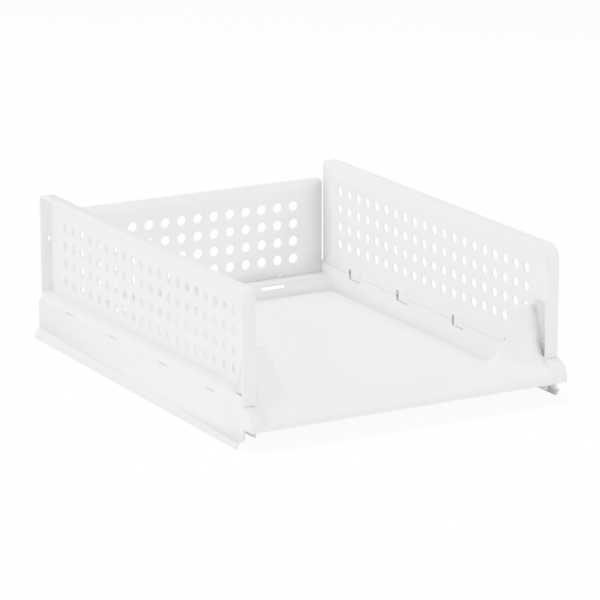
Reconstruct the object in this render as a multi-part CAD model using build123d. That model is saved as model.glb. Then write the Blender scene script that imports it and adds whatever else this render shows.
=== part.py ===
"""A collapsible, stackable storage bin: one tray and three folding perforated panels.

Millimetres. X is across the bin, Y runs from the scooped front to the back, Z is up.
The origin is under the middle of the bin, on the surface that its two side rails stand on.
"""
import math
import os

from build123d import *

# Overall sizes
inner_width = 292.6           # between the inner faces of the side panels
total_height = 140.0
wall = 2.1                    # tray walls
panel_wall = 2.0              # webs and rims of the panels
rim_depth = 12.6              # how far the side panels' rims stand out
joint_gap = 0.4               # room beside whatever turns or slides
seat_gap = 0.15               # between the side panels' feet and the rims they stand on
past = 1.0                    # how far a cut runs past the face that it opens
bite = 0.5                    # how far a joined piece reaches into the one that carries it

# Perforation
hole_pitch = 17.5
hole_diameter = 9.5
hole_sides = 8
side_columns = 20
side_rows = 4
rear_columns = 14
rear_rows = 4
side_top_margin = 26.0        # panel top to the centres of the top row
side_rear_margin = 32.7       # panel rear to the centres of the last column
rear_top_margin = 25.0

# Side panels
lip_overhang = 15.7           # how far the front lip stands out past the side panels
side_length = 400.0
front_corner_radius = 13.5
rear_corner_radius = 5.0
foot_corner_radius = 1.2
ledge_height = 47.0           # top of the side panels' bottom rim
web_drop = 1.7                # how far the web reaches below the seam
post_notch_depth = 1.2        # the upright notch in the front post's inner edge
post_notch_length = 11.5
post_notch_drop = 10.5        # panel top to the notch
rear_slot_width = 2.4         # the small slot through the rear post beside the web
rear_slot_offset = 0.2
rear_slot_height = 4.0
rear_slot_drop = 41.0         # panel top to the slot

# Tray
seam_height = 38.0            # where the side panels sit on the tray's rims
floor_top = 11.5
front_lip_bottom = 18.7
rim_land = 6.5                # width of the ledge on top of the side rims
trough_floor = 28.0           # bottom of the groove that the side hinges lie in
rear_ledge_top = 26.0
rear_ledge_width = 22.5
rear_fascia_bottom = 19.5
rail_step = 4.7               # how far the rail's foot stands out past the rim
rail_step_top = 10.0
rail_step_bottom = 6.5
rail_chamfer_height = 9.0
rail_chamfer_length = 7.0
stack_height = 7.0            # the cross ribs' bottoms, which rest on the bin below
cross_rib_spacing = 35.0
cross_rib_thickness = 1.6
floor_rib_depth = 3.0
floor_rib_pitch = 70.0
scoop_radius = 15.0           # inside corner from the floor up to the front edge

# Front edge
front_edge_setback = 17.0     # top edge of the scoop behind the side panels' front
crest_setback = 1.0           # top of the lip in front of the side panels' front
edge_thickness = 2.0
scoop_insets = (96.3, 62.3, 48.3, 37.3, 27.8, 22.3, 15.3, 0.0)    # in from the side panel
scoop_heights = (29.6, 34.0, 38.2, 46.5, 62.0, 76.0, 84.2, 85.0)  # of the edge at those places
edge_rise_start = 29.4        # height from which the edge turns from lying to upright
edge_rise = 30.0
edge_pull = 5.0               # how far the scoop runs straight into its edge
bullnose_start = 21.5         # where the lip's upright face begins to curve
crest_middle = 28.2
crest_end = 32.6
crest_rise_inset = 106.3      # from the side panel to where the crest begins to rise
crest_rise_length = 70.0
crest_pull = 8.0              # how far the crest runs straight into the scoop
core_shift_length = 30.0
lip_stations = 14             # sections in each half of the lip, beyond its straight middle
core_stations = 7

# Hinges of the side panels
side_axis_inset = 2.9         # hinge axis outside the panels' inner face
side_axis_height = 39.0
side_boss_radius = 2.7
side_pin_radius = 1.9
pin_clearance = 0.1
eye_sides = 8
window_width = 21.0
window_bottom = 30.4
window_top = 41.3
slide_gap = 5.0               # room behind each lug to slide the pins home
lug_bottom = 32.0
cheek_thickness = 2.8
hinge_offsets = (-140.0, -50.0, 50.0, 140.0)
hinge_middle = 4.0
groove_clearance = 0.3
outer_slot_length = 16.0
outer_slot_height = 1.5
lug_room = 1.0                # beside a lug in the ledge's notch
catch_thickness = 1.8
catch_gap = 0.7               # between a catch and the inside of the panel's foot
catch_leg = 1.2

# Slot beside the front rim, through which the tray's ear passes
ear_slot_length = 18.0
ear_slot_top = 90.3
ear_slot_radius = 3.0
ear_drop = 0.4                # the ear's top below the end of the scoop's edge
ear_corner_radius = 6.0
ear_block_height = 46.6

# Rear panel
rear_gap = 0.5                # between the side panels' ends and the rear panel
rear_side_gap = 0.5           # between the rear panel and the side panels' inner faces
rear_depth = 5.0
rear_top = 121.5
rear_bottom = 26.9
rear_rim_lift = 4.0           # the bottom rim above the panel's lower edge
rear_axis_inset = 2.0
rear_axis_height = 29.0
rear_boss_radius = 2.0
rear_pin_radius = 1.3
rear_cheek_radius = 2.6
rear_hinge_offsets = (-106.0, 106.0)
rear_lug_width = 12.0
rear_heel_offsets = (24.0, 74.0)
rear_heel_end_inset = 9.8     # in from the rear panel's ends to its outermost heels
rear_heel_thickness = 2.0
rear_heel_gap = 0.1
rear_window_offset = 82.0
rear_window_width = 25.6
rear_window_height = 3.3

# Places worked out from the sizes above
end_crest = seam_height - seat_gap
half_inner = inner_width / 2
half_outer = half_inner + rim_depth
total_length = lip_overhang + side_length + rear_gap + rear_depth
lip_front = -total_length / 2
panel_front = lip_front + lip_overhang
panel_rear = panel_front + side_length
slot_front = panel_front + panel_wall
slot_rear = slot_front + ear_slot_length
edge_front = panel_front + front_edge_setback
edge_back = edge_front + edge_thickness
crest_y = panel_front - crest_setback
web_bottom = seam_height - web_drop
floor_bottom = floor_top - wall
side_axis_x = half_inner + side_axis_inset
groove_radius = math.hypot(side_axis_inset, side_axis_height - web_bottom) + groove_clearance
rear_front_face = panel_rear + rear_gap
rear_back_face = rear_front_face + rear_depth
rear_axis_y = rear_front_face + rear_axis_inset
rear_wall_front = rear_back_face - rear_ledge_width
tray_rear = rear_back_face
rear_half = half_inner - rear_side_gap
rail_outer = half_outer + rail_step


def block(x0, x1, y0, y1, z0, z1):
    """A box given by its faces."""
    middle = Pos((x0 + x1) / 2, (y0 + y1) / 2, (z0 + z1) / 2)
    return middle * Box(abs(x1 - x0), abs(y1 - y0), abs(z1 - z0))


def rod_y(x, z, y0, y1, radius):
    """A round bar along Y."""
    return Pos(x, (y0 + y1) / 2, z) * Rot(90, 0, 0) * Cylinder(radius, abs(y1 - y0))


def rod_x(y, z, x0, x1, radius):
    """A round bar along X."""
    return Pos((x0 + x1) / 2, y, z) * Rot(0, 90, 0) * Cylinder(radius, abs(x1 - x0))


def prism_y(x, z, y0, y1, outline):
    """A many-sided bar along Y."""
    return Pos(x, y0, z) * Rot(-90, 0, 0) * extrude(outline, y1 - y0)


def prism_x(y, z, x0, x1, outline):
    """A many-sided bar along X."""
    return Pos(x0, y, z) * Rot(0, 90, 0) * extrude(outline, x1 - x0)


def eye_outline(radius):
    """The outline of a hinge eye, as wide across its flats as a round one."""
    return RegularPolygon(radius, eye_sides, major_radius=False)


def mirrored(shape):
    """The same shape on the other side of the bin."""
    return mirror(shape, about=Plane.YZ)


def both_sides(shape):
    return shape + mirrored(shape)


def side_body(x0, x1, inset, bottom):
    """A block with a side panel's rounded outline, drawn a given inset inside its rims."""
    body = block(x0, x1, panel_front + inset, panel_rear - inset, bottom, total_height - inset)
    corners = body.edges().filter_by(Axis.X)
    body = fillet(corners.group_by(Axis.Z)[0], foot_corner_radius)
    upper = body.edges().filter_by(Axis.X).group_by(Axis.Z)[-1]
    body = fillet(upper.sort_by(Axis.Y)[0], front_corner_radius - inset)
    upper = body.edges().filter_by(Axis.X).group_by(Axis.Z)[-1]
    return fillet(upper.sort_by(Axis.Y)[-1], rear_corner_radius - inset)


def hole_grid(columns, rows):
    """A grid of holes, centred on its plane, many-sided so that 216 of them stay light."""
    hole = RegularPolygon(hole_diameter / 2, hole_sides)
    return Sketch() + GridLocations(hole_pitch, hole_pitch, columns, rows) * hole


def hinge_places():
    return [hinge_middle + offset for offset in hinge_offsets]


def side_lug(y):
    """One hinge lug of a side panel, with its boss and a pin that points to the front."""
    lug_rear = y + window_width / 2 - slide_gap
    lug_front = y - window_width / 2 + joint_gap
    plate = block(half_inner, half_inner + panel_wall, lug_front, lug_rear, lug_bottom, side_axis_height)
    boss = prism_y(side_axis_x, side_axis_height, lug_front, lug_rear, eye_outline(side_boss_radius))
    boss += block(half_inner, side_axis_x, lug_front, lug_rear, side_axis_height - side_boss_radius,
                  side_axis_height + side_boss_radius)
    pin_tip = y - window_width / 2 - cheek_thickness
    pin = rod_y(side_axis_x, side_axis_height, pin_tip, lug_front + bite, side_pin_radius)
    return plate + boss + pin


def side_hinge_cuts(y):
    """The notches in a side panel's web and fascia at one hinge."""
    window_rear = y + window_width / 2
    window_front = y - window_width / 2
    web = (half_inner - past, half_inner + panel_wall + past)
    slide = block(*web, window_rear - slide_gap, window_rear, web_bottom - past, window_top)
    cheek_top = side_axis_height + side_boss_radius + joint_gap
    cheek = block(*web, window_front - cheek_thickness - joint_gap, window_front + joint_gap,
                  web_bottom - past, cheek_top)
    half_slot = outer_slot_length / 2
    outside = block(half_outer - panel_wall - past, half_outer + past, y - half_slot, y + half_slot,
                    seam_height - past, seam_height + outer_slot_height)
    return slide + cheek + outside


def side_panel():
    """The right side panel: a perforated web with rims turned outwards on all four sides."""
    web_outer = half_inner + panel_wall
    body = side_body(half_inner, half_outer, 0, web_bottom)
    body -= side_body(web_outer, half_outer + past, panel_wall, ledge_height)
    body -= block(web_outer, half_outer + past, panel_front - past, panel_rear + past,
                  web_bottom - past, seam_height)
    body -= block(web_outer, half_outer - panel_wall, panel_front + panel_wall, panel_rear - panel_wall,
                  web_bottom - past, ledge_height - panel_wall)
    grid_y = panel_rear - side_rear_margin - hole_pitch * (side_columns - 1) / 2
    grid_z = total_height - side_top_margin - hole_pitch * (side_rows - 1) / 2
    web_plane = Plane(origin=(half_inner - past, grid_y, grid_z), x_dir=(0, 1, 0), z_dir=(1, 0, 0))
    body -= extrude(web_plane * hole_grid(side_columns, side_rows), panel_wall + 2 * past)
    body -= block(half_inner - past, half_outer + past, slot_front, slot_rear,
                  web_bottom - past, ledge_height + bite)
    slot = block(half_inner - past, web_outer + bite, slot_front, slot_rear, web_bottom - past, ear_slot_top)
    slot_top = slot.edges().filter_by(Axis.X).group_by(Axis.Z)[-1]
    body -= fillet(slot_top, ear_slot_radius)
    for y in hinge_places():
        body -= side_hinge_cuts(y)
    for y in hinge_places():
        body += side_lug(y)
    return body - front_post_notch() - rear_post_slot()


def front_post_notch():
    """The short upright notch in the edge of the front post, near its top."""
    top = total_height - post_notch_drop
    return block(half_inner - past, half_inner + post_notch_depth, panel_front - past,
                 panel_front + post_notch_depth, top - post_notch_length, top)


def rear_post_slot():
    """The small slot through the rear post beside the web."""
    web_outer = half_inner + panel_wall
    top = total_height - rear_slot_drop
    inner = web_outer + rear_slot_offset
    return block(inner, inner + rear_slot_width, panel_rear - panel_wall - past,
                 panel_rear + past, top - rear_slot_height, top)


def rear_panel():
    """The rear panel: lower than the sides, with shallow rims turned to the back."""
    body = block(-rear_half, rear_half, rear_front_face, rear_back_face, rear_bottom, rear_top)
    body = fillet(body.edges().filter_by(Axis.Y).group_by(Axis.Z)[-1], rear_corner_radius)
    rim_bottom = rear_bottom + rear_rim_lift
    inner = block(-rear_half + panel_wall, rear_half - panel_wall, rear_front_face + panel_wall,
                  rear_back_face + past, rim_bottom + panel_wall, rear_top - panel_wall)
    inner = fillet(inner.edges().filter_by(Axis.Y).group_by(Axis.Z)[-1], rear_corner_radius - panel_wall)
    body -= inner
    under = block(-rear_half - past, rear_half + past, rear_front_face + panel_wall, rear_back_face + past,
                  rear_bottom - past, rim_bottom)
    body -= under
    grid_z = rear_top - rear_top_margin - hole_pitch * (rear_rows - 1) / 2
    face_plane = Plane(origin=(0, rear_front_face - past, grid_z), x_dir=(1, 0, 0), z_dir=(0, 1, 0))
    body -= extrude(face_plane * hole_grid(rear_columns, rear_rows), panel_wall + 2 * past)
    for x in rear_hinge_offsets:
        body -= rear_hinge_cut(x)
    for x in rear_hinge_offsets:
        body += rear_boss(x)
    for x in (*rear_heel_offsets, rear_half - rear_heel_end_inset):
        body += both_sides(rear_heel(x))
    return body


def rear_heel(x):
    """One of the feet that stand on the tray's ledge and stop the rear panel upright."""
    half = rear_heel_thickness / 2
    return block(x - half, x + half, rear_front_face + panel_wall / 2, rear_back_face,
                 rear_ledge_top + rear_heel_gap, rear_bottom + rear_rim_lift + bite)


def rear_cheek_span(x):
    """The two ends of the tray's cheek beside the rear lug at x, on its inner side."""
    inner_end = abs(x) - rear_lug_width / 2 - joint_gap
    span = (inner_end - cheek_thickness, inner_end)
    return span if x > 0 else (-span[1], -span[0])


def rear_hinge_cut(x):
    span = rear_cheek_span(x)
    top = rear_axis_height + rear_cheek_radius + joint_gap
    return block(span[0] - joint_gap, span[1] + joint_gap, rear_front_face - past, rear_back_face + past,
                 rear_bottom - past, top)


def rear_boss(x):
    """One hinge boss of the rear panel, with the pin on its inner side."""
    half_lug = rear_lug_width / 2
    boss = prism_x(rear_axis_y, rear_axis_height, x - half_lug, x + half_lug, eye_outline(rear_boss_radius))
    span = rear_cheek_span(x)
    ends = (span[0], x - half_lug + bite) if x > 0 else (x + half_lug - bite, span[1])
    return boss + rod_x(rear_axis_y, rear_axis_height, *ends, rear_pin_radius)


def scoop_edge():
    """The front edge's rise from its straight middle to the side panel: offset and height."""
    points = [(half_inner - inset, height) for inset, height in zip(scoop_insets, scoop_heights)]
    return Spline(*points, tangents=[(1, 0), (1, 0)])


def ease(value):
    """Goes smoothly from 0 to 1."""
    t = min(max(value, 0), 1)
    return t * t * (3 - 2 * t)


def lip_curves(x, height, inset):
    """The curved upper side of one upright section through the lip, from its nose to its edge.

    The crest climbs and the edge turns upright towards the side panels. The inset is the wall for
    the hollow, whose top lies lower where the edge is steep.
    """
    grow = ease((abs(x) - half_inner + crest_rise_inset) / crest_rise_length)
    rise = ease((height - edge_rise_start) / edge_rise)
    crest_z = crest_middle + (crest_end - crest_middle) * grow - inset
    crest_slope = Vector(0, 1, 0.05 + 0.16 * grow).normalized()
    turn = math.radians(2 + 84 * rise)
    edge_slope = Vector(0, math.cos(turn), math.sin(turn))
    nose = Vector(x, lip_front + inset, bullnose_start)
    crest = Vector(x, crest_y, crest_z)
    top_y = edge_front if inset == 0 else edge_back - inset
    top = Vector(x, top_y, height - inset * (1 + 7 * rise))
    nose_rise = Vector(0, 0, 0.62 * (crest_z - bullnose_start))
    reach = 0.56 * (crest_y - lip_front - inset)
    pull = edge_pull + 0.42 * (top.Z - edge_rise_start + inset)
    return [
        Edge.make_bezier(nose, nose + nose_rise, crest - crest_slope * reach, crest),
        Edge.make_bezier(crest, crest + crest_slope * crest_pull, top - edge_slope * pull, top),
    ]


def lip_section(x, height):
    """One upright section through the outside of the front lip and the scoop's edge."""
    curves = lip_curves(x, height, 0)
    corners = [curves[-1] @ 1, Vector(x, edge_back, height), Vector(x, edge_back, front_lip_bottom),
               Vector(x, lip_front, front_lip_bottom), curves[0] @ 0]
    return Wire(curves + [Edge.make_line(a, b) for a, b in zip(corners, corners[1:])])


def core_section(x, height):
    """The hollow inside the same section, open at the bottom."""
    curves = lip_curves(x, height, wall)
    low = front_lip_bottom - past
    corners = [curves[-1] @ 1, Vector(x, edge_back - wall, low), Vector(x, lip_front + wall, low),
               curves[0] @ 0]
    return Wire(curves + [Edge.make_line(a, b) for a, b in zip(corners, corners[1:])])


def front_body(make_section, stations, shift, half_width):
    """The front lip and scoop, or their hollow, as one ruled body between its two ends."""
    edge = scoop_edge()
    half = []
    for step in range(stations):
        place = edge @ (step / stations)
        out = place.X - (half_inner - scoop_insets[0])
        half.append((place.X + shift * ease(out / core_shift_length), place.Y))
    half.append((half_width, (edge @ 1).Y))
    places = [(-x, z) for x, z in reversed(half)] + half
    return Solid.make_loft([make_section(x, z) for x, z in places], ruled=True)


def end_lip():
    """The closed end of the front lip under the right side panel's front post."""
    outer = block(half_inner, half_outer, lip_front, slot_front, front_lip_bottom, end_crest)
    outer = fillet(outer.edges().filter_by(Axis.X).group_by(Axis.Z)[-1].sort_by(Axis.Y)[0], lip_overhang)
    inside = (half_inner + wall, half_outer - wall)
    spring = end_crest - lip_overhang
    hollow = rod_x(panel_front, spring, *inside, lip_overhang - wall)
    low = front_lip_bottom - past
    hollow += block(*inside, lip_front + wall, panel_front, low, spring)
    return outer - (hollow & block(*inside, lip_front, crest_y - wall / 2, low, end_crest))


def front_edge():
    """Lip, scoop and ears, hollow from below, with the curved wall from the floor up to them."""
    heel = edge_back - wall
    upright = block(-half_inner, half_inner, heel, edge_back, floor_bottom, front_lip_bottom)
    corner_y = edge_back + scoop_radius
    corner_z = floor_top + scoop_radius
    ring = rod_x(corner_y, corner_z, -half_inner, half_inner, scoop_radius + wall)
    ring -= rod_x(corner_y, corner_z, -half_inner - past, half_inner + past, scoop_radius)
    corner = ring & block(-half_inner, half_inner, heel, corner_y, floor_bottom, corner_z)
    body = front_body(lip_section, lip_stations, 0, half_inner) + upright + corner
    return body - front_body(core_section, core_stations, 1.5 * wall, half_inner - wall)


def ear_block():
    """The tray's corner behind the right front post, which joins the ear to the outer wall."""
    y0 = slot_front + joint_gap
    y1 = slot_rear - joint_gap
    outside = block(half_outer - wall, half_outer, y0, y1, trough_floor - wall, ear_block_height)
    inside = block(half_inner, half_inner + wall, y0, y1, trough_floor - wall, seam_height)
    top = scoop_heights[-1] - ear_drop
    ear = block(half_inner - past, half_outer - wall / 2, edge_front, edge_back, trough_floor - wall, top)
    ear = fillet(ear.edges().filter_by(Axis.Y).group_by(Axis.Z)[-1].sort_by(Axis.X)[-1], ear_corner_radius)
    over = block(half_outer - wall, half_outer + past, edge_front - past, edge_back + past,
                 ear_block_height, ear_slot_top)
    return outside + inside + ear - over


def rail_profile():
    """Section of the right rim's outer wall, with the stepped-out foot that guides stacking."""
    inner = half_outer - wall
    step_in = rail_outer - wall
    drop = wall * 0.4
    return make_face(Polyline(
        (inner, end_crest), (half_outer, end_crest),
        (half_outer, rail_step_top), (rail_outer, rail_step_bottom), (rail_outer, 0), (step_in, 0),
        (step_in, rail_step_bottom - drop), (inner, rail_step_top - drop), close=True))


def side_rim():
    """The right rim of the tray: two walls, the groove between them and the rail's foot."""
    outer_wall = Pos(0, tray_rear, 0) * extrude(Plane.XZ * rail_profile(), tray_rear - panel_front)
    chamfer = make_face(Polyline(
        (panel_front - past, -past), (panel_front - past, rail_chamfer_height),
        (panel_front, rail_chamfer_height), (panel_front + rail_chamfer_length, 0),
        (panel_front + rail_chamfer_length, -past), close=True))
    outer_wall -= extrude(Plane.YZ * chamfer, rail_outer + past)
    land = block(half_outer - rim_land, half_outer, panel_front, tray_rear, end_crest - wall, end_crest)
    inner_wall = block(half_inner, half_inner + wall, panel_front, tray_rear, floor_bottom, end_crest)
    bottom = block(half_inner, half_outer, panel_front, tray_rear, trough_floor - panel_wall, trough_floor)
    back = block(half_inner, half_outer, tray_rear - wall, tray_rear, rail_step_top, end_crest)
    return outer_wall + land + inner_wall + bottom + back


def cross_ribs():
    """The ribs under the right rim's groove, which bear on the top rim of the bin below."""
    count = int((side_length - cross_rib_spacing) // cross_rib_spacing)
    start = (panel_front + panel_rear - cross_rib_spacing * (count - 1)) / 2
    rib = block(half_inner + wall / 2, half_outer - wall / 2, -cross_rib_thickness / 2,
                cross_rib_thickness / 2, stack_height, trough_floor - panel_wall / 2)
    return [Pos(0, start + index * cross_rib_spacing, 0) * rib for index in range(count)]


def rim_cuts():
    """What is cut from the right rim so that the side panel can turn and its lugs can pass."""
    cut = rod_y(side_axis_x, side_axis_height, panel_front - past, slot_front + joint_gap, groove_radius)
    cut += rod_y(side_axis_x, side_axis_height, slot_rear - joint_gap, panel_rear + joint_gap, groove_radius)
    for y in hinge_places():
        front = y - window_width / 2
        rear = y + window_width / 2
        cut += block(half_inner - past, half_inner + wall + bite, front, rear, window_bottom, seam_height)
        cut += block(half_inner + wall, half_outer - wall, *lug_notch(y), trough_floor, seam_height)
    return cut


def side_cheek(y):
    """One bearing cheek in the right rim's groove, without its bore."""
    rear = y - window_width / 2
    front = rear - cheek_thickness
    stand = block(side_axis_x - side_boss_radius, side_axis_x + side_boss_radius, front, rear,
                  trough_floor - bite, side_axis_height)
    return stand + prism_y(side_axis_x, side_axis_height, front, rear, eye_outline(side_boss_radius))


def lug_notch(y):
    """How far the rim's ledge is cut away along Y, to let a lug turn."""
    return (y - window_width / 2 - lug_room, y + window_width / 2 - slide_gap + lug_room)


def side_catch(y):
    """The low bar on the rim that shows through a slot in the panel's foot and bridges a lug's notch."""
    outer = half_outer - panel_wall - catch_gap
    front, rear = lug_notch(y)
    bar = block(outer - catch_thickness, outer, front - catch_leg, rear + catch_leg,
                end_crest - wall / 2, seam_height + outer_slot_height)
    return bar - block(outer - catch_thickness - past, outer + past, front, rear,
                       end_crest - wall, seam_height)


def side_bore(y):
    rear = y - window_width / 2
    return rod_y(side_axis_x, side_axis_height, rear - cheek_thickness - past, rear + past,
                 side_pin_radius + pin_clearance)


def rear_rim():
    """The tray's rear rim: an inner wall and a ledge with a short fascia behind it."""
    inner_wall = block(-half_inner, half_inner, rear_wall_front, rear_wall_front + wall,
                       floor_bottom, rear_ledge_top)
    ledge = block(-half_inner, half_inner, rear_wall_front, tray_rear, rear_ledge_top - wall, rear_ledge_top)
    fascia = block(-half_inner, half_inner, tray_rear - wall, tray_rear, rear_fascia_bottom, rear_ledge_top)
    return inner_wall + ledge + fascia


def rear_cheek(x):
    span = rear_cheek_span(x)
    stand = block(span[0], span[1], rear_axis_y - rear_cheek_radius, rear_axis_y + rear_cheek_radius,
                  rear_ledge_top - bite, rear_axis_height)
    return stand + prism_x(rear_axis_y, rear_axis_height, *span, eye_outline(rear_cheek_radius))


def rear_foot_groove():
    """The groove in the rear ledge that the rear panel's foot turns in."""
    foot = math.hypot(rear_axis_inset, rear_axis_height - rear_bottom) + groove_clearance
    return rod_x(rear_axis_y, rear_axis_height, -half_inner, half_inner, foot)


def rear_bore(x):
    span = rear_cheek_span(x)
    return rod_x(rear_axis_y, rear_axis_height, span[0] - past, span[1] + past,
                 rear_pin_radius + pin_clearance)


def rear_window():
    """The right one of the two long windows in the rear wall, under its ledge."""
    half = rear_window_width / 2
    top = rear_ledge_top - wall
    return block(rear_window_offset - half, rear_window_offset + half, rear_wall_front - past,
                 rear_wall_front + wall + past, top - rear_window_height, top)


def floor_ribs():
    """The shallow ribs under the floor."""
    z0 = floor_bottom - floor_rib_depth
    y0 = edge_back + scoop_radius
    y1 = rear_wall_front
    half = cross_rib_thickness / 2
    ribs = []
    lengthways = int(half_inner // floor_rib_pitch)
    for index in range(-lengthways, lengthways + 1):
        x = index * floor_rib_pitch
        ribs.append(block(x - half, x + half, y0, y1, z0, floor_bottom + bite))
    across = int((y1 - y0) // floor_rib_pitch)
    start = (y0 + y1 - across * floor_rib_pitch) / 2
    for index in range(across + 1):
        y = start + index * floor_rib_pitch
        ribs.append(block(-half_inner, half_inner, y - half, y + half, z0, floor_bottom + bite))
    return ribs


def base_tray():
    """The tray that the three panels fold into."""
    floor = block(-half_inner - past, half_inner + past, edge_back + scoop_radius - past,
                  rear_wall_front + past, floor_bottom, floor_top)
    rim = side_rim() + cross_ribs()
    rim -= block(half_inner + wall, half_outer - wall, slot_front + joint_gap, slot_rear - joint_gap,
                 trough_floor, seam_height)
    rim += [ear_block(), end_lip()]
    rim -= rim_cuts()
    rim += [side_cheek(y) for y in hinge_places()]
    rim += [side_catch(y) for y in hinge_places()]
    for y in hinge_places():
        rim -= side_bore(y)
    tray = front_edge() + [both_sides(rim), floor, rear_rim()] + floor_ribs()
    tray -= rear_foot_groove()
    tray += [rear_cheek(x) for x in rear_hinge_offsets]
    for x in rear_hinge_offsets:
        tray -= rear_bore(x)
    return tray - both_sides(rear_window())


def main():
    os.makedirs("parts", exist_ok=True)
    right = side_panel()
    pieces = {
        "base_tray": base_tray(),
        "right_side_panel": right,
        "left_side_panel": mirrored(right),
        "rear_panel": rear_panel(),
    }
    for name, shape in pieces.items():
        solids = shape.solids()
        print(name, len(solids), "solid", round(sum(s.volume for s in solids)), "mm3")
        export_step(shape, os.path.join("parts", name + ".step"))


main()
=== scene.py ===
"""The looks of a white folding storage bin: rounded panels, moulded plastic, a pale floor and soft light."""
import math

import bmesh
import bpy
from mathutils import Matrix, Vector


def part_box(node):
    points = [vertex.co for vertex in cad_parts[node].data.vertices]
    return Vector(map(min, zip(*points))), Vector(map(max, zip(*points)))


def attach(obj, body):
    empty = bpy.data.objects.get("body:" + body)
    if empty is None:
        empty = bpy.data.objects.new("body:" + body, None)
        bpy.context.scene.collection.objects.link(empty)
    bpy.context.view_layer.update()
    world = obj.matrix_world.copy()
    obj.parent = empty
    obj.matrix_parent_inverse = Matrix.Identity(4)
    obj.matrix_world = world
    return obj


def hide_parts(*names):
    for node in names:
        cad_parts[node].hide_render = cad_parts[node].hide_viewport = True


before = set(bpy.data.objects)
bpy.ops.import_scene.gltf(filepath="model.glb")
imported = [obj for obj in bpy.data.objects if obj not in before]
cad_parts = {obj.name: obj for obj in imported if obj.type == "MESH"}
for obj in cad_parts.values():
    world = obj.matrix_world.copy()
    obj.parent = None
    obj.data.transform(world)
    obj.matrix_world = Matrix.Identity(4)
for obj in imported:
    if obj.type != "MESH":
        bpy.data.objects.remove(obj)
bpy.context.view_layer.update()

# Camera and light
lens = 209.5
camera_place = (-1.5004, -2.6831, 0.8972)
camera_tilt = 15.14           # degrees below level
camera_turn = 29.305          # degrees from straight ahead to the right
sky_strength = 0.6
light_target = (0, 0, 0.05)
sensor_width = 36.0           # millimetres, as the lens
view_depth = 50.0
floor_size = 12.0
floor_tone = 0.95
floor_roughness = 0.9
floor_glow = 10.0             # what the camera sees of the floor, to match the photograph's white

# Perforation, in metres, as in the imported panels
hole_radius = 0.00475
hole_pitch = 0.0175
side_top_margin = 0.026
side_rear_margin = 0.0327
side_columns = 20
rows = 4
rear_top_margin = 0.025
rear_columns = 14

# The slot in a side panel that the tray's ear passes through, in metres
post_wall = 0.002
slot_length = 0.018
slot_shoulder = 0.0872        # from here up, the slot's top and its rounded corners
slot_crown = 0.0904
slot_drop = 0.001             # brings the slot's top down towards the ear
web_inset = 0.0126            # from a panel's outer face to its web's inner face
web_thickness = 0.002

# The tray's ears, which fill those slots, in metres
ear_step = (0.0003, 0.0009)   # where the ear steps up, outside the web's inner face
ear_shoulder = 0.0815         # from here up, the ear's top and its rounded corner
ear_rise = 0.0036
ear_fold = (0.047, 0.049)     # heights between which the ear begins to lean
ear_lean = 1.3                # how far the ear's outer end leans to the front, per unit outwards

# Finish of the moulded edges
merge_distance = 0.000004
rim_cuts = 3                  # new points on each side of an eight-sided hole
hole_edge = 0.0004
panel_edge = 0.0005
rim_reach = 0.0105            # the rims' edges that are softened lie this near the outer face
foot_top = 0.048
smooth_angle = 32.0
sharp_angle = 40.0            # edges that turn more than this are softened
flat_limit = 0.00001
rim_limit = 0.00003           # how far a point may lie off a hole's circle
near_limit = 0.0001           # how far a point may lie outside a slot or an ear
cut_limit = 0.00002

# White plastic
plastic_tone = 0.86
plastic_ior = 1.49
flow_drop = 0.02              # how much darker the flow marks are
# edges lighter: partly wear, partly a painted highlight
edge_lift = 0.05
painted_shade_share = 0.7            # painted shade: the tone deep in corners and slots, as a share of the plain tone
roughness_range = (0.36, 0.5)
grain_depth = 0.00002
grain_strength = 0.6
flow_scale = 14.0
polish_scale = 60.0
soft_samples = 6              # rays for the rounded edges and for the painted shade in hollows
edge_turn = (0.98, 0.75)      # from flat to the lighter edge (wear and a painted highlight), by how far the rounded edge turns
painted_shade_range = (0.9, 0.4)     # painted shade, from open to hollow, by the share of open space


def link(piece):
    bpy.context.scene.collection.objects.link(piece)
    return piece


def merged_copy(node):
    """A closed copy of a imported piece's loose triangles."""
    shape = bmesh.new()
    shape.from_mesh(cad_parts[node].data)
    bmesh.ops.remove_doubles(shape, verts=shape.verts, dist=merge_distance)
    return shape


def finish_piece(shape, name, node, body, material):
    """Makes the mesh of a refined piece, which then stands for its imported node."""
    mesh = bpy.data.meshes.new(name)
    shape.to_mesh(mesh)
    shape.free()
    mesh.shade_smooth()
    mesh.set_sharp_from_angle(angle=math.radians(smooth_angle))
    mesh.materials.clear()
    mesh.materials.append(material)
    piece = link(bpy.data.objects.new(name, mesh))
    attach(piece, body)
    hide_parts(node)


def hole_places(first, last, count):
    """The middles of the holes along one line of the grid."""
    step = (last - first) / (count - 1)
    return [first + step * index for index in range(count)]


def nearest_hole(point, across, columns, row_heights):
    """The middle of the hole that a point of a panel is nearest to, and how far off it lies."""
    column = min(columns, key=lambda place: abs(place - point[across]))
    row = min(row_heights, key=lambda place: abs(place - point.z))
    return column, row, math.hypot(point[across] - column, point.z - row)


def on_rim(edge, across, columns, row_heights):
    """Whether an edge is one side of an eight-sided hole, on either face of the panel."""
    along = 1 - across
    if abs(edge.verts[0].co[along] - edge.verts[1].co[along]) > flat_limit:
        return False
    holes = [nearest_hole(vert.co, across, columns, row_heights) for vert in edge.verts]
    if holes[0][:2] != holes[1][:2]:
        return False
    return all(abs(hole[2] - hole_radius) < rim_limit for hole in holes)


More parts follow.
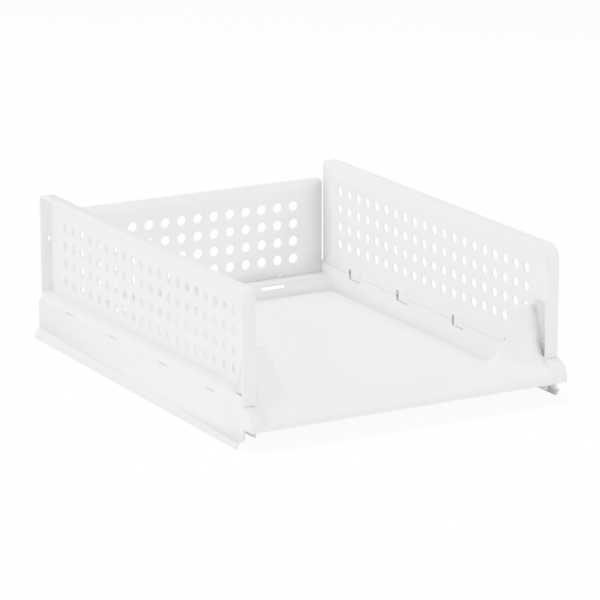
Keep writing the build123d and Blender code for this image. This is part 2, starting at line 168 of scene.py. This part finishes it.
def round_holes(shape, across, columns, row_heights):
    """Makes each eight-sided hole of a panel truly round and softens both of its edges."""
    rims = [edge for edge in shape.edges if on_rim(edge, across, columns, row_heights)]
    rim_set = set(rims)
    walls = {face for edge in rims for face in edge.link_faces if abs(face.normal[1 - across]) < 0.5}
    bmesh.ops.delete(shape, geom=list(walls), context="FACES_ONLY")
    stray = [edge for edge in shape.edges if not edge.link_faces and edge not in rim_set]
    bmesh.ops.delete(shape, geom=stray, context="EDGES")
    rims = [edge for edge in shape.edges if on_rim(edge, across, columns, row_heights)]
    made = bmesh.ops.subdivide_edges(shape, edges=rims, cuts=rim_cuts)
    points = {item for item in made["geom_inner"] if isinstance(item, bmesh.types.BMVert)}
    for point in points:
        column, row, reach = nearest_hole(point.co, across, columns, row_heights)
        scale = hole_radius / reach
        point.co[across] = column + (point.co[across] - column) * scale
        point.co.z = row + (point.co.z - row) * scale
    loops = {}
    for edge in shape.edges:
        if on_rim(edge, across, columns, row_heights) and edge.is_boundary:
            key = nearest_hole(edge.verts[0].co, across, columns, row_heights)[:2]
            loops.setdefault(key, []).append(edge)
    rounded = []
    for loop in loops.values():
        bmesh.ops.bridge_loops(shape, edges=loop)
        rounded += loop
    shape.normal_update()
    bmesh.ops.bevel(shape, geom=rounded, offset=hole_edge, offset_type="OFFSET", segments=2,
                    profile=0.5, affect="EDGES", material=-1, clamp_overlap=True)


def soften(shape, edges, radius):
    """Rounds the given sharp edges as a mould does."""
    bmesh.ops.bevel(shape, geom=edges, offset=radius, offset_type="OFFSET", segments=3,
                    profile=0.5, affect="EDGES", material=-1, clamp_overlap=False)


def sharp_edges(shape, wanted):
    """The sharp edges of a shape whose middles are wanted."""
    found = []
    for edge in shape.edges:
        if len(edge.link_faces) != 2 or edge.calc_face_angle() < math.radians(sharp_angle):
            continue
        if wanted((edge.verts[0].co + edge.verts[1].co) / 2):
            found.append(edge)
    return found


def lower_slot(shape, front, outer):
    """Brings the top of the front slot down a little towards the tray's ear."""
    start = front + post_wall
    for vert in shape.verts:
        depth = abs(vert.co.x) - (outer - web_inset)
        along = vert.co.y - start
        in_web = -near_limit < depth < web_thickness + near_limit
        in_slot = -near_limit < along < slot_length + near_limit
        if in_web and in_slot and slot_shoulder < vert.co.z < slot_crown:
            vert.co.z -= slot_drop


def side_panel(node, body, material):
    """A side panel with round holes and soft rims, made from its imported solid."""
    low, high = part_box(node)
    last = high[1] - side_rear_margin
    columns = hole_places(last - hole_pitch * (side_columns - 1), last, side_columns)
    top = high[2] - side_top_margin
    row_heights = hole_places(top - hole_pitch * (rows - 1), top, rows)
    shape = merged_copy(node)
    round_holes(shape, 1, columns, row_heights)
    outer = max(abs(low[0]), abs(high[0]))
    lower_slot(shape, low[1], outer)
    rims = outer - rim_reach
    soften(shape, sharp_edges(shape, lambda place: abs(place.x) > rims and place.z > foot_top), panel_edge)
    finish_piece(shape, node + "_moulded", node, body, material)


def rear_panel(node, body, material):
    """The rear panel with round holes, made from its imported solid."""
    low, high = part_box(node)
    half = hole_pitch * (rear_columns - 1) / 2
    columns = hole_places(-half, half, rear_columns)
    top = high[2] - rear_top_margin
    row_heights = hole_places(top - hole_pitch * (rows - 1), top, rows)
    shape = merged_copy(node)
    round_holes(shape, 0, columns, row_heights)
    finish_piece(shape, node + "_moulded", node, body, material)


def cut_ears(shape, web, place, direction):
    """Cuts new edges around the tray's ears, where they have passed the side panels' webs."""
    faces = [face for face in shape.faces
             if all(abs(vert.co.x) > web - near_limit for vert in face.verts)
             and any(vert.co.z > ear_fold[1] for vert in face.verts)]
    edges = {edge for face in faces for edge in face.edges}
    points = {vert for face in faces for vert in face.verts}
    bmesh.ops.bisect_plane(shape, geom=faces + list(edges) + list(points), dist=flat_limit,
                           plane_co=place, plane_no=direction)


def shape_ears(shape, web):
    """Carries each ear higher outside the web, to fill the panel's slot, and leans it behind the post."""
    for reach in (-web - ear_step[1], -web - ear_step[0], web + ear_step[0], web + ear_step[1]):
        cut_ears(shape, web, (reach, 0, 0), (1, 0, 0))
    for height in ear_fold:
        cut_ears(shape, web, (0, 0, height), (0, 0, 1))
    outside = web + ear_step[1]
    for vert in shape.verts:
        reach = abs(vert.co.x) - outside
        if reach > -cut_limit and vert.co.z > ear_shoulder:
            vert.co.z += ear_rise
        if reach > 0 and vert.co.z > ear_fold[1] - cut_limit:
            vert.co.y -= reach * ear_lean


def tray(node, body, material):
    """The tray with its lip and scoop shaded as one flowing surface, and its ears in the panels' slots."""
    shape = merged_copy(node)
    shape_ears(shape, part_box("right_side_panel")[1][0] - web_inset)
    finish_piece(shape, node + "_moulded", node, body, material)


def group_socket(group, name, kind, way, value=None):
    socket = group.interface.new_socket(name, in_out=way, socket_type=kind)
    if value is not None:
        socket.default_value = value


def moulded_surface():
    """The finish of moulded plastic: flow in the tone, fine grain, edges lighter from wear and a painted
    highlight, and painted shade in hollows.
    """
    group = bpy.data.node_groups.new("moulded_surface", "ShaderNodeTree")
    group_socket(group, "Tone", "NodeSocketColor", "INPUT", (0.8, 0.8, 0.8, 1))
    group_socket(group, "Flow Tone", "NodeSocketColor", "INPUT", (0.75, 0.75, 0.75, 1))
    group_socket(group, "Edge Tone", "NodeSocketColor", "INPUT", (0.9, 0.9, 0.9, 1))
    group_socket(group, "Painted Shade Tone", "NodeSocketColor", "INPUT", (0.6, 0.6, 0.6, 1))
    group_socket(group, "Painted Shade Reach", "NodeSocketFloat", "INPUT", 0.025)
    group_socket(group, "Roughness Low", "NodeSocketFloat", "INPUT", 0.3)
    group_socket(group, "Roughness High", "NodeSocketFloat", "INPUT", 0.5)
    group_socket(group, "Grain Scale", "NodeSocketFloat", "INPUT", 1500.0)
    group_socket(group, "Grain Depth", "NodeSocketFloat", "INPUT", 0.00001)
    group_socket(group, "Edge Radius", "NodeSocketFloat", "INPUT", 0.0005)
    group_socket(group, "Color", "NodeSocketColor", "OUTPUT")
    group_socket(group, "Roughness", "NodeSocketFloat", "OUTPUT")
    group_socket(group, "Normal", "NodeSocketVector", "OUTPUT")
    nodes, links = group.nodes, group.links
    given = nodes.new("NodeGroupInput")
    result = nodes.new("NodeGroupOutput")
    place = nodes.new("ShaderNodeTexCoord").outputs["Object"]

    flow = nodes.new("ShaderNodeTexNoise")
    flow.inputs["Scale"].default_value = flow_scale
    flow.inputs["Detail"].default_value = 3.0
    flow.inputs["Distortion"].default_value = 0.6
    links.new(place, flow.inputs["Vector"])
    tone = nodes.new("ShaderNodeMix")
    tone.data_type = "RGBA"
    links.new(flow.outputs["Fac"], tone.inputs["Factor"])
    links.new(given.outputs["Tone"], tone.inputs["A"])
    links.new(given.outputs["Flow Tone"], tone.inputs["B"])

    rounded = nodes.new("ShaderNodeBevel")
    rounded.samples = soft_samples
    links.new(given.outputs["Edge Radius"], rounded.inputs["Radius"])
    surface = nodes.new("ShaderNodeNewGeometry")
    turn = nodes.new("ShaderNodeVectorMath")
    turn.operation = "DOT_PRODUCT"
    links.new(rounded.outputs["Normal"], turn.inputs[0])
    links.new(surface.outputs["Normal"], turn.inputs[1])
    edge = nodes.new("ShaderNodeMapRange")
    edge.inputs["From Min"].default_value = edge_turn[0]
    edge.inputs["From Max"].default_value = edge_turn[1]
    links.new(turn.outputs["Value"], edge.inputs["Value"])
    # Edges lighter: partly wear, partly a painted highlight.
    wear_and_highlight = nodes.new("ShaderNodeMix")
    wear_and_highlight.data_type = "RGBA"
    links.new(edge.outputs["Result"], wear_and_highlight.inputs["Factor"])
    links.new(tone.outputs["Result"], wear_and_highlight.inputs["A"])
    links.new(given.outputs["Edge Tone"], wear_and_highlight.inputs["B"])

    # Painted shade: the colour darkens where nearby surfaces close in, in corners, slots and recesses.
    painted_shade = nodes.new("ShaderNodeAmbientOcclusion")
    painted_shade.samples = soft_samples
    links.new(given.outputs["Painted Shade Reach"], painted_shade.inputs["Distance"])
    depth = nodes.new("ShaderNodeMapRange")
    depth.inputs["From Min"].default_value = painted_shade_range[0]
    depth.inputs["From Max"].default_value = painted_shade_range[1]
    links.new(painted_shade.outputs["AO"], depth.inputs["Value"])
    shaded = nodes.new("ShaderNodeMix")
    shaded.data_type = "RGBA"
    links.new(depth.outputs["Result"], shaded.inputs["Factor"])
    links.new(wear_and_highlight.outputs["Result"], shaded.inputs["A"])
    links.new(given.outputs["Painted Shade Tone"], shaded.inputs["B"])
    links.new(shaded.outputs["Result"], result.inputs["Color"])

    polish = nodes.new("ShaderNodeTexNoise")
    polish.inputs["Scale"].default_value = polish_scale
    polish.inputs["Detail"].default_value = 4.0
    links.new(place, polish.inputs["Vector"])
    gloss = nodes.new("ShaderNodeMapRange")
    gloss.inputs["From Min"].default_value = 0.3
    gloss.inputs["From Max"].default_value = 0.7
    links.new(polish.outputs["Fac"], gloss.inputs["Value"])
    links.new(given.outputs["Roughness Low"], gloss.inputs["To Min"])
    links.new(given.outputs["Roughness High"], gloss.inputs["To Max"])
    links.new(gloss.outputs["Result"], result.inputs["Roughness"])

    grain = nodes.new("ShaderNodeTexNoise")
    grain.inputs["Detail"].default_value = 2.0
    links.new(place, grain.inputs["Vector"])
    links.new(given.outputs["Grain Scale"], grain.inputs["Scale"])
    bump = nodes.new("ShaderNodeBump")
    bump.inputs["Strength"].default_value = grain_strength
    links.new(grain.outputs["Fac"], bump.inputs["Height"])
    links.new(given.outputs["Grain Depth"], bump.inputs["Distance"])
    links.new(rounded.outputs["Normal"], bump.inputs["Normal"])
    links.new(bump.outputs["Normal"], result.inputs["Normal"])
    return group


def white_plastic(name, group):
    """White polypropylene with a soft sheen."""
    material = bpy.data.materials.new(name)
    material.use_nodes = True
    nodes, links = material.node_tree.nodes, material.node_tree.links
    shader = nodes["Principled BSDF"]
    finish = nodes.new("ShaderNodeGroup")
    finish.node_tree = group
    tone = plastic_tone
    flow = tone - flow_drop
    edge = tone + edge_lift
    # Painted shade: the darker tone for corners and slots.
    painted_shade = tone * painted_shade_share
    finish.inputs["Tone"].default_value = (tone, tone, tone * 0.996, 1)
    finish.inputs["Flow Tone"].default_value = (flow, flow, flow + 0.002, 1)
    finish.inputs["Edge Tone"].default_value = (edge, edge, edge, 1)
    finish.inputs["Painted Shade Tone"].default_value = (painted_shade, painted_shade, painted_shade + tone * 0.01, 1)
    finish.inputs["Roughness Low"].default_value = roughness_range[0]
    finish.inputs["Roughness High"].default_value = roughness_range[1]
    finish.inputs["Grain Depth"].default_value = grain_depth
    links.new(finish.outputs["Color"], shader.inputs["Base Color"])
    links.new(finish.outputs["Roughness"], shader.inputs["Roughness"])
    links.new(finish.outputs["Normal"], shader.inputs["Normal"])
    shader.inputs["IOR"].default_value = plastic_ior
    return material


def camera():
    """A long lens from above the front left, with the bin's right side farther away."""
    data = bpy.data.cameras.new("camera")
    data.sensor_width = sensor_width
    data.lens = lens
    data.clip_end = view_depth
    piece = link(bpy.data.objects.new("camera", data))
    piece.location = camera_place
    piece.rotation_euler = (math.radians(90 - camera_tilt), 0, -math.radians(camera_turn))
    bpy.context.scene.camera = piece


def area_light(name, place, size, power):
    """A soft box aimed at the bin."""
    data = bpy.data.lights.new(name, "AREA")
    data.shape = "SQUARE"
    data.size = size
    data.energy = power
    piece = link(bpy.data.objects.new(name, data))
    piece.location = place
    aim = Vector(light_target) - Vector(place)
    piece.rotation_euler = aim.to_track_quat("-Z", "Y").to_euler()


def sky():
    world = bpy.data.worlds.new("studio")
    world.use_nodes = True
    node = world.node_tree.nodes["Background"]
    node.inputs["Color"].default_value = (1, 1, 1, 1)
    node.inputs["Strength"].default_value = sky_strength
    bpy.context.scene.world = world


def floor():
    """A plain white floor."""
    shape = bmesh.new()
    bmesh.ops.create_grid(shape, x_segments=1, y_segments=1, size=floor_size / 2)
    mesh = bpy.data.meshes.new("floor")
    shape.to_mesh(mesh)
    shape.free()
    material = bpy.data.materials.new("floor_white")
    material.use_nodes = True
    nodes, links = material.node_tree.nodes, material.node_tree.links
    shader = nodes["Principled BSDF"]
    shader.inputs["Base Color"].default_value = (floor_tone, floor_tone, floor_tone, 1)
    shader.inputs["Roughness"].default_value = floor_roughness
    glow = nodes.new("ShaderNodeEmission")
    glow.inputs["Strength"].default_value = floor_glow
    seen = nodes.new("ShaderNodeLightPath")
    either = nodes.new("ShaderNodeMixShader")
    both = nodes.new("ShaderNodeAddShader")
    links.new(shader.outputs["BSDF"], both.inputs[0])
    links.new(glow.outputs["Emission"], both.inputs[1])
    links.new(seen.outputs["Is Camera Ray"], either.inputs["Fac"])
    links.new(shader.outputs["BSDF"], either.inputs[1])
    links.new(both.outputs["Shader"], either.inputs[2])
    links.new(either.outputs["Shader"], nodes["Material Output"].inputs["Surface"])
    mesh.materials.append(material)
    link(bpy.data.objects.new("floor", mesh))


finish_group = moulded_surface()
panel_plastic = white_plastic("white_polypropylene_panels", finish_group)
tray_plastic = white_plastic("white_polypropylene_tray", finish_group)
side_panel("right_side_panel", "right_panel", panel_plastic)
side_panel("left_side_panel", "left_panel", panel_plastic)
rear_panel("rear_panel", "rear", panel_plastic)
tray("base_tray", "base", tray_plastic)

camera()
sky()
area_light("overhead", (-0.2, 0.3, 2.9), 1.4, 420)
area_light("left", (-3.0, 0.5, 1.1), 1.6, 390)
area_light("front", (1.1, -3.0, 1.3), 1.0, 235)
floor()
